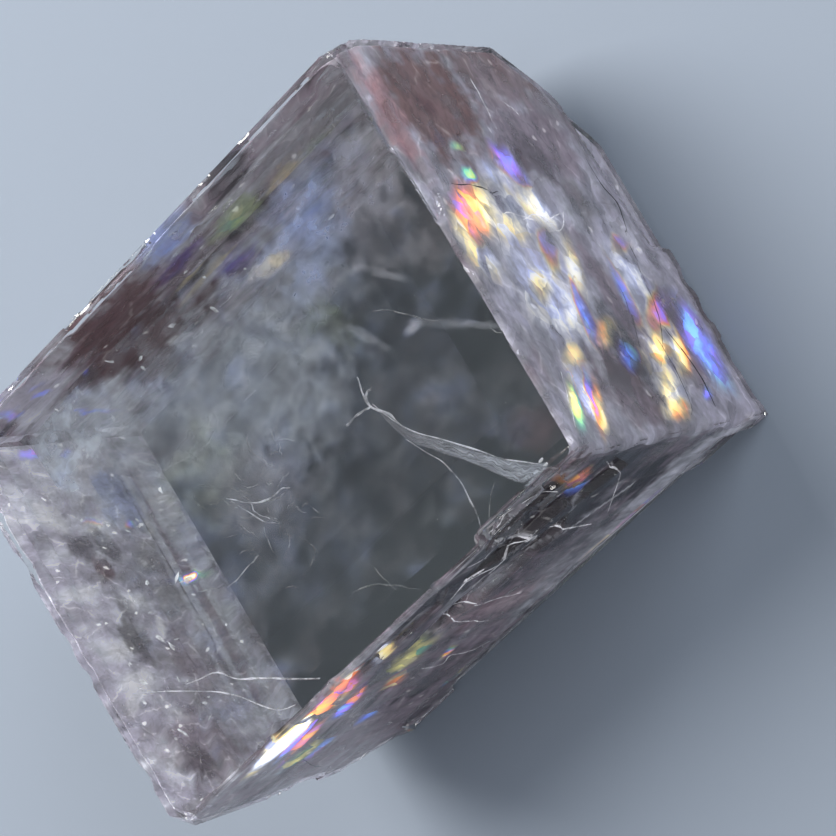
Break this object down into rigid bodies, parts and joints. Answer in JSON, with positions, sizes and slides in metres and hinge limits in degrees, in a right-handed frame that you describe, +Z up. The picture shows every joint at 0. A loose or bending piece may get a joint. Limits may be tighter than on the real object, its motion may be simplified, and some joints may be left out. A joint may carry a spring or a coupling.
{
  "type": "calcite cleavage rhomb",
  "caption": "Clear rhombohedral block of calcite with stepped cleavage faces and chipped corners, lying on its broad lower face.",
  "frame": {"origin": "middle of the block's outline on the surface it lies on", "axes": "+Z up through the broad upper cleavage face, +X along the longest natural edge towards the blunt corner, +Y towards the back face"},
  "size_m": [0.044, 0.0314, 0.0179],
  "materials": {
    "clear_calcite": "clear with a faint grey tint, glassy cleavage faces, cloudy and iridescent cracks inside"
  },
  "bodies": {
    "root": {"calcite_crystal": "clear_calcite"}
  },
  "joints": []
}
